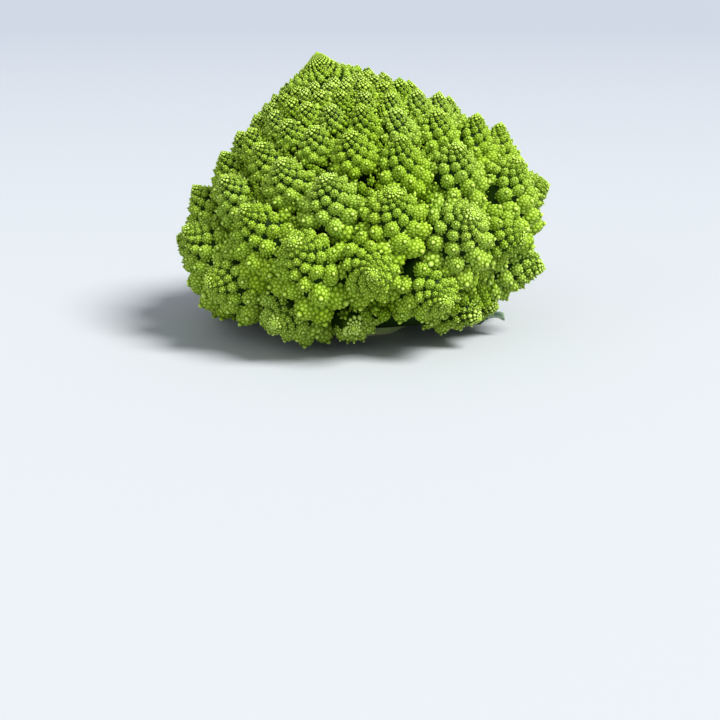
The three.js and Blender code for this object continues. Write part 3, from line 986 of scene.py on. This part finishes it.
def add_core(shell, floret):
    """Adds a floret's core to a shell. Its tip is the floret's own smooth tip."""
    dome = floret["dome"]
    angles = core_angles(CORE_RINGS, FLORET_EDGE_ANGLE)
    rings = []
    for t in angles:
        depth = CORE_DEPTH * spacing_at(profile(dome, t)[0], FLORET_GROWTH)
        rings.append(sunk(dome, t, depth))
    points, corners, sizes = revolve(rings, CORE_SIDES, 0, -CORE_ROOT * dome["height"])
    place = np.array(floret["matrix"])
    shell.add(warp(points @ place[:3, :3].T + place[:3, 3]), corners, sizes,
              shade=core_shades(angles, CORE_SIDES, CORE_TIP_ANGLE),
              tone=draw(floret["number"], TONE_STREAM), inner=0.5)


def make_head_core():
    """One closed body under all florets."""
    angles = core_angles(HEAD_CORE_RINGS, RIM_ANGLE)
    rings = []
    for t in angles:
        depth = HEAD_CORE_DEPTH * spacing_at(profile(HEAD_DOME, t)[0], head_growth(t))
        r, z = sunk(HEAD_DOME, t, depth)
        rings.append((r, APEX_ABOVE_CENTRE + z))
    points, corners, sizes = revolve(rings, HEAD_CORE_SIDES, APEX_ABOVE_CENTRE + HEAD_DOME["point"], 0)
    place = np.array(head_to_part)
    points = points @ place[:3, :3].T + place[:3, 3]
    points[:, 2] = np.maximum(points[:, 2], CORE_LOWEST + CORE_FLATNESS * (points[:, 2] - CORE_LOWEST))
    shell = Shell()
    shell.add(warp(points), corners, sizes, tone=0.0, inner=0.0,
              shade=core_shades(angles, HEAD_CORE_SIDES, HEAD_CORE_TIP_ANGLE))
    return shell.build("curd_core", curd_material)


curd_pieces = [make_head_core()]

# %% [markdown]
# ## The curd in zones
#
# All buds could be one mesh, but it would be too heavy to handle. So they are joined in seven zones from
# the crown down, cut by the angle of their floret. A floret is never split between two zones.

# %% Zones of the curd
ZONES = [("curd_tip", 0.4), ("curd_crown", 0.58), ("curd_upper", 0.76), ("curd_middle", 0.97),
         ("curd_lower", 1.27), ("curd_skirt", 1.68), ("curd_underside", math.pi)]

from_angle = -1.0
for name, to_angle in ZONES:
    shell = Shell()
    for floret in large:
        if from_angle < floret["t"] <= to_angle:
            add_core(shell, floret)
    for bud in buds:
        if from_angle < bud["floret"]["t"] <= to_angle:
            add_bud(shell, bud)
    curd_pieces.append(shell.build(name, curd_material))
    from_angle = to_angle
for piece in curd_pieces:
    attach(piece, "root")
    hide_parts("curd")

# %% [markdown]
# ## The stalk
#
# Below the florets the head is a thick stalk, cut flat, whose branches carry the lowest florets. Between
# the branches stand the short stubs of leaves that were trimmed off. Stem skin is finely ribbed along
# its length, and a cut face is moist and paler with darker rings. Each limb is turned round its own
# axis from a short list of radii, with ribs pressed in as waves round the axis.

# %% Limbs of the stalk
STALK = {"cut_radius": 0.026, "waist_radius": 0.024, "waist_height": 0.010, "top_radius": 0.031,
         "top_height": 0.058}
STALK_SIDES, BRANCH_SIDES = 72, 28
BRANCH = {"florets": 11, "start_height": 0.024, "root_radius": 0.0105, "tip_radius": 0.008,
          "end_depth": 0.75}
STUB = {"count": 5, "reach": 0.034, "root_radius": 0.007, "end_radius": 0.005, "height": 0.013,
        "height_spread": 0.004, "rise": 0.004}
RIBS = [(9, 0.016), (17, 0.01), (31, 0.005)]
RIM_BEVEL = 0.0012
FLARE = 1.5
LIMB_STEPS = (0.85, 0.7, 0.55, 0.4, 0.25, 0.1, 0)
CUT_STEPS, ROUNDED_END, ROOT_BULGE = (0.3, 0.6, 0.9), 0.9, 0.3


def ribbed(points, seed):
    """Points of a body round +Z with ribs along its length."""
    turn = np.arctan2(points[:, 1], points[:, 0])
    swell = 1 + sum(size * np.sin(count * turn + seed * count) for count, size in RIBS)
    return points * np.stack([swell, swell, np.ones(len(points))], 1)


def add_limb(shell, start, end, root_radius, end_radius, cut_end, seed):
    """Adds a tapered limb from start to end. A cut end is flat and pale, another one is round."""
    start, end = Vector(start), Vector(end)
    length = (end - start).length
    rings = []
    if cut_end:
        rings += [(share * end_radius, length + RIM_BEVEL * (1 - share)) for share in CUT_STEPS]
    else:
        rings.append((ROUNDED_END * end_radius, length))
    rings.append((end_radius, length - RIM_BEVEL))
    rings += [(end_radius + (root_radius - end_radius) * (1 - share) ** FLARE, share * length)
              for share in LIMB_STEPS]
    points, corners, sizes = revolve(rings, BRANCH_SIDES, length + RIM_BEVEL, -ROOT_BULGE * root_radius)
    cut = np.zeros(len(points))
    if cut_end:
        cut[:len(CUT_STEPS) * BRANCH_SIDES] = 1
        cut[-2] = 1
    place = np.array(along(start, (end - start).normalized()))
    shell.add(ribbed(points, seed) @ place[:3, :3].T + place[:3, 3], corners, sizes, cut=cut)


print("sides of the stalk:", STALK_SIDES, "and of a branch:", BRANCH_SIDES)

# %% [markdown]
# ## The trunk of the stalk
#
# The trunk swells towards the curd that it carries and again a little where it was cut. A cut stalk
# shows a ring where the tough skin ends and the soft pith begins, and the pith dries back by a hair. So
# the cut face isn't one flat disc but has a few rings of its own.

# %% Trunk, branches and stubs
TRUNK_TOP = [(0.5, 1.0), (0.9, 0.97)]  # shares of the top radius and of the top height
TRUNK_STEPS, SHOULDER, FOOT = 12, 0.9, 0.4
PITH = [(0.8, 0.0), (0.72, 0.0003), (0.6, 0.0), (0.3, 0.0002)]  # share of the cut radius, height in metres
PITH_MIDDLE = 0.0004


def add_trunk(shell):
    """Adds the stalk itself, flat on its cut face."""
    cut_radius, waist_radius = STALK["cut_radius"], STALK["waist_radius"]
    top_radius, top_height = STALK["top_radius"], STALK["top_height"]
    waist_height = STALK["waist_height"]
    rings = [(across * top_radius, up * top_height) for across, up in TRUNK_TOP]
    for share in np.linspace(1, 0, TRUNK_STEPS):
        rings.append((waist_radius + (top_radius - waist_radius) * share ** FLARE,
                      waist_height + (SHOULDER * top_height - waist_height) * share))
    rings += [(0.5 * (waist_radius + cut_radius), FOOT * waist_height), (cut_radius, RIM_BEVEL)]
    skin = len(rings) * STALK_SIDES
    rings += [(cut_radius - RIM_BEVEL, 0.0)] + [(share * cut_radius, height) for share, height in PITH]
    points, corners, sizes = revolve(rings, STALK_SIDES, top_height, PITH_MIDDLE)
    cut = np.concatenate([np.zeros(skin), np.ones(len(rings) * STALK_SIDES - skin), [0, 1]])
    shell.add(ribbed(points, 1), corners, sizes, cut=cut)


def make_stalk():
    """The cut stalk with its branches and leaf stubs in one mesh."""
    shell = Shell()
    add_trunk(shell)
    carried = [floret for floret in florets if not floret["tucked"]][:BRANCH["florets"]]
    for floret in carried:
        end = floret["tip"] - BRANCH["end_depth"] * floret["room"] * floret["aim"]
        add_limb(shell, (0, 0, BRANCH["start_height"]), end, BRANCH["root_radius"], BRANCH["tip_radius"],
                 False, floret["number"])
    for k in range(STUB["count"]):
        turn = k * GOLDEN_ANGLE
        height = STUB["height"] + STUB["height_spread"] * draw(k, STUB_STREAM)
        end = (STUB["reach"] * math.cos(turn), STUB["reach"] * math.sin(turn), height + STUB["rise"])
        add_limb(shell, (0, 0, height), end, STUB["root_radius"], STUB["end_radius"], True, k)
    piece = shell.build("stalk_skin", stalk_material)
    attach(piece, "root")
    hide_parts("stalk")


make_stalk()

# %% [markdown]
# ## A thin closed sheet
#
# A flat card with a picture would look right from one side only, so a leaf is a thin closed sheet. It
# has a grid of points on its top, the same grid on its underside, and a strip of faces round its edge.

# %% Faces of a thin closed sheet
def sheet_faces(rows, columns):
    """Four-sided faces of a thin closed sheet: its top, its underside and the strip round its edge."""
    top = np.arange(rows * columns).reshape(rows, columns)
    under = top + rows * columns
    square = [top[:-1, :-1], top[1:, :-1], top[1:, 1:], top[:-1, 1:]]
    faces = [np.stack(square, -1).reshape(-1, 4)]
    faces.append((np.stack(square[::-1], -1) + rows * columns).reshape(-1, 4))
    for edge, below in ((top[:, 0], under[:, 0]), (top[-1], under[-1]),
                        (top[::-1, -1], under[::-1, -1]), (top[0, ::-1], under[0, ::-1])):
        faces.append(np.stack([edge[:-1], below[:-1], below[1:], edge[1:]], -1))
    return np.concatenate(faces)


print("faces of a sheet of three by three points:", len(sheet_faces(3, 3)))

# %% [markdown]
# ## The leaves
#
# Three small leaves are left on the stalk. A brassica leaf has a thick pale midrib, side veins that
# sweep to a waved and toothed margin, and a blade that puckers up between its veins. One formula gives
# the middle of the blade, and its two faces stand off that by the thickness, the rib and the veins.

# %% Leaves
LEAVES = {
    "leaf_right": {"direction": -18, "roll": -31, "length": 0.062, "width": 0.030, "middle": 0.012,
                   "tip": 0.011},
    "leaf_back": {"direction": 90, "roll": 10, "length": 0.086, "width": 0.038, "middle": 0.008,
                  "tip": 0.007},
    "leaf_left": {"direction": 137, "roll": 12, "length": 0.080, "width": 0.034, "middle": 0.009,
                  "tip": 0.008},
}
LEAF_START = {"r": 0.022, "z": 0.010}
LEAF_BEND = 0.55
LEAF_STEPS, LEAF_COLUMNS, COLUMN_CROWDING = 90, 26, 1.3
PETIOLE_WIDTH, TIP_NARROWING = 0.006, 0.7
BLADE_FULLEST, BLADE_ROUNDNESS = 0.75, 0.8
BLADE_THICKNESS = 0.001
MIDRIB = {"thickness": 0.0036, "taper": 0.8, "half_width": 0.0021}
MARGIN_WAVE = {"count": 3.5, "height": 0.0018}
TEETH = {"count": 9, "depth": 0.12}
VEINS = {"count": 8, "sweep": 0.2, "width": 0.2, "height": 0.00035, "pucker": 0.0007, "paleness": 0.6}


def make_leaf(name, shape):
    """One leaf as a thin closed sheet with its rib, veins and puckers."""
    direction, roll = math.radians(shape["direction"]), math.radians(shape["roll"])
    out = np.array([math.cos(direction), math.sin(direction), 0])
    side = np.array([-math.sin(direction), math.cos(direction), 0])
    up = np.array([0, 0, 1.0])
    across = math.cos(roll) * side + math.sin(roll) * up
    normal = math.cos(roll) * up - math.sin(roll) * side
    u = np.linspace(0, 1, LEAF_STEPS + 1)[:, None]
    flat = np.linspace(-1, 1, LEAF_COLUMNS + 1)[None, :]
    v = np.sign(flat) * np.abs(flat) ** COLUMN_CROWDING

    teeth = 1 - TEETH["depth"] * np.abs(np.sin(math.pi * TEETH["count"] * u))
    blade = np.sin(math.pi * u ** BLADE_FULLEST).clip(0) ** BLADE_ROUNDNESS
    petiole = PETIOLE_WIDTH * (1 - TIP_NARROWING * u ** 6)
    half_width = 0.5 * (petiole + shape["width"] * blade * teeth)
    reach = LEAF_START["r"] + shape["length"]
    run = (1 - u) ** 2 * LEAF_START["r"] + 2 * u * (1 - u) * LEAF_BEND * reach + u ** 2 * reach
    rise = (1 - u) ** 2 * LEAF_START["z"] + 2 * u * (1 - u) * shape["middle"] + u ** 2 * shape["tip"]
    wave = np.sin(2 * math.pi * MARGIN_WAVE["count"] * u + direction + v)
    lift = rise + MARGIN_WAVE["height"] * v ** 2 * wave
    middle = (run[..., None] * out + (half_width * v)[..., None] * across + lift[..., None] * up)

    phase = (u - VEINS["sweep"] * np.abs(v)) * VEINS["count"] + 0.5 * (v < 0)
    off_vein = 2 * np.abs(phase - np.round(phase))
    veins = (1 - off_vein / VEINS["width"]).clip(0) * (1 - np.abs(v) ** 3) * blade
    pucker = VEINS["pucker"] * np.sin(0.5 * math.pi * off_vein) * (1 - v ** 2) * np.abs(v) ** 0.5 * blade
    rib_depth = (MIDRIB["thickness"] * (1 - MIDRIB["taper"] * u) - BLADE_THICKNESS).clip(0)
    rib = np.exp(-(half_width * v / MIDRIB["half_width"]) ** 2)
    top = middle + (0.5 * BLADE_THICKNESS + pucker - VEINS["height"] * veins)[..., None] * normal
    under = 0.5 * BLADE_THICKNESS - pucker + VEINS["height"] * veins + rib_depth * rib
    bottom = middle - under[..., None] * normal

    faces = sheet_faces(LEAF_STEPS + 1, LEAF_COLUMNS + 1)
    vein = np.maximum(rib, VEINS["paleness"] * veins)
    shell = Shell()
    shell.add(np.concatenate([top.reshape(-1, 3), bottom.reshape(-1, 3)]), faces.ravel(),
              np.full(len(faces), 4), vein=np.tile(vein.ravel(), 2))
    piece = shell.build(name + "_blade", leaf_material)
    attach(piece, "root")
    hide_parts(name)


for name, shape in LEAVES.items():
    make_leaf(name, shape)

# %% [markdown]
# ## Camera
#
# The camera stands about a metre away, a little above the head, and looks slightly down. From that
# distance perspective is mild, and the head keeps its true form. A camera could also be aimed by a
# constraint, but one pitch angle says the same.

# %% Camera
FOCAL_PIXELS, IMAGE_SIZE, SENSOR_WIDTH = 1875, 720, 36
CAMERA_DISTANCE = 1.05
CAMERA_RISE = math.radians(10.1)
CAMERA_PITCH = math.radians(15)
AIM_HEIGHT = 0.0725

camera_data = bpy.data.cameras.new("camera")
camera_data.sensor_fit = "HORIZONTAL"
camera_data.sensor_width = SENSOR_WIDTH
camera_data.lens = SENSOR_WIDTH * FOCAL_PIXELS / IMAGE_SIZE
camera = bpy.data.objects.new("camera", camera_data)
bpy.context.scene.collection.objects.link(camera)
camera.location = (0, -CAMERA_DISTANCE * math.cos(CAMERA_RISE),
                   AIM_HEIGHT + CAMERA_DISTANCE * math.sin(CAMERA_RISE))
gaze = Vector((0, math.cos(CAMERA_PITCH), -math.sin(CAMERA_PITCH)))
camera.rotation_euler = gaze.to_track_quat("-Z", "Y").to_euler()
bpy.context.scene.camera = camera
print("lens mm:", round(camera_data.lens, 2))

# %% [markdown]
# ## Floor
#
# The head stands on a plain pale floor that fills the picture and turns a little darker and bluer into
# the distance, as painted shade. A small floor would show its edge, so this one is a disc whose rim lies
# far outside the picture.

# %% Floor
FLOOR_RADIUS, FLOOR_SIDES = 9.0, 64
# Painted shade: the floor's colour turns darker and bluer from near to far
NEAR_FLOOR, FAR_FLOOR_PAINTED_SHADE = (0.402, 0.426, 0.457), (0.297, 0.326, 0.384)
NEAR_Y, FAR_Y = 0.0, 1.9
FLOOR_ROUGHNESS = 0.8


def make_floor():
    """A level disc so wide that its edge is never in the picture."""
    turns = [2 * math.pi * k / FLOOR_SIDES for k in range(FLOOR_SIDES)]
    mesh = bpy.data.meshes.new("floor")
    rim = [(FLOOR_RADIUS * math.cos(turn), FLOOR_RADIUS * math.sin(turn), 0.0) for turn in turns]
    mesh.from_pydata(rim, [], [range(FLOOR_SIDES)])
    material = bpy.data.materials.new("pale floor")
    material.use_nodes = True
    shader = material.node_tree.nodes["Principled BSDF"]
    tree = material.node_tree
    place = tree.nodes.new("ShaderNodeTexCoord")
    split = tree.nodes.new("ShaderNodeSeparateXYZ")
    away = tree.nodes.new("ShaderNodeMapRange")
    away.inputs["From Min"].default_value, away.inputs["From Max"].default_value = NEAR_Y, FAR_Y
    tree.links.new(place.outputs["Object"], split.inputs[0])
    tree.links.new(split.outputs["Y"], away.inputs["Value"])
    colour = mix_colours(tree, away.outputs["Result"], NEAR_FLOOR, FAR_FLOOR_PAINTED_SHADE)
    tree.links.new(colour, shader.inputs["Base Color"])
    shader.inputs["Roughness"].default_value = FLOOR_ROUGHNESS
    mesh.materials.append(material)
    sheet = bpy.data.objects.new("floor", mesh)
    bpy.context.scene.collection.objects.link(sheet)


make_floor()
print("floor across in metres:", 2 * FLOOR_RADIUS)

# %% [markdown]
# ## Light
#
# The light is soft and bright, strongest from above and the right, and with the painted shade and painted
# highlight in the curd's colour the crevices stay dark while the tips glow. A wide sun lights floor and
# head alike, where a lamp near the head would leave a bright pool round it. The standard view transform
# keeps the greens as strong as they are in a camera's picture, where a filmic one would wash them out.

# %% Light
KEY_FROM, KEY_SPREAD, KEY_STRENGTH, KEY_COLOUR = (0.65, -0.4, 0.95), 24, 6.2, (1.0, 0.985, 0.95)
FILL_FROM, FILL_SPREAD, FILL_STRENGTH, FILL_COLOUR = (-0.6, -1.0, 0.45), 70, 1.0, (0.96, 0.98, 1.0)
ROOM_COLOUR, ROOM_STRENGTH = (0.9, 0.95, 1.0), 0.48


def sun_light(name, light_from, spread, strength, colour):
    """A far light from a direction. A wide spread, in degrees, softens its shadows."""
    data = bpy.data.lights.new(name, "SUN")
    data.angle, data.energy, data.color = math.radians(spread), strength, colour
    light = bpy.data.objects.new(name, data)
    bpy.context.scene.collection.objects.link(light)
    light.rotation_euler = (-Vector(light_from)).to_track_quat("-Z", "Y").to_euler()


sun_light("key", KEY_FROM, KEY_SPREAD, KEY_STRENGTH, KEY_COLOUR)
sun_light("fill", FILL_FROM, FILL_SPREAD, FILL_STRENGTH, FILL_COLOUR)
world = bpy.data.worlds.new("soft room")
bpy.context.scene.world = world
world.use_nodes = True
room = world.node_tree.nodes["Background"]
room.inputs["Color"].default_value = (*ROOM_COLOUR, 1)
room.inputs["Strength"].default_value = ROOM_STRENGTH
bpy.context.scene.view_settings.view_transform = "Standard"
print("key light", KEY_STRENGTH, "fill light", FILL_STRENGTH, "room", ROOM_STRENGTH)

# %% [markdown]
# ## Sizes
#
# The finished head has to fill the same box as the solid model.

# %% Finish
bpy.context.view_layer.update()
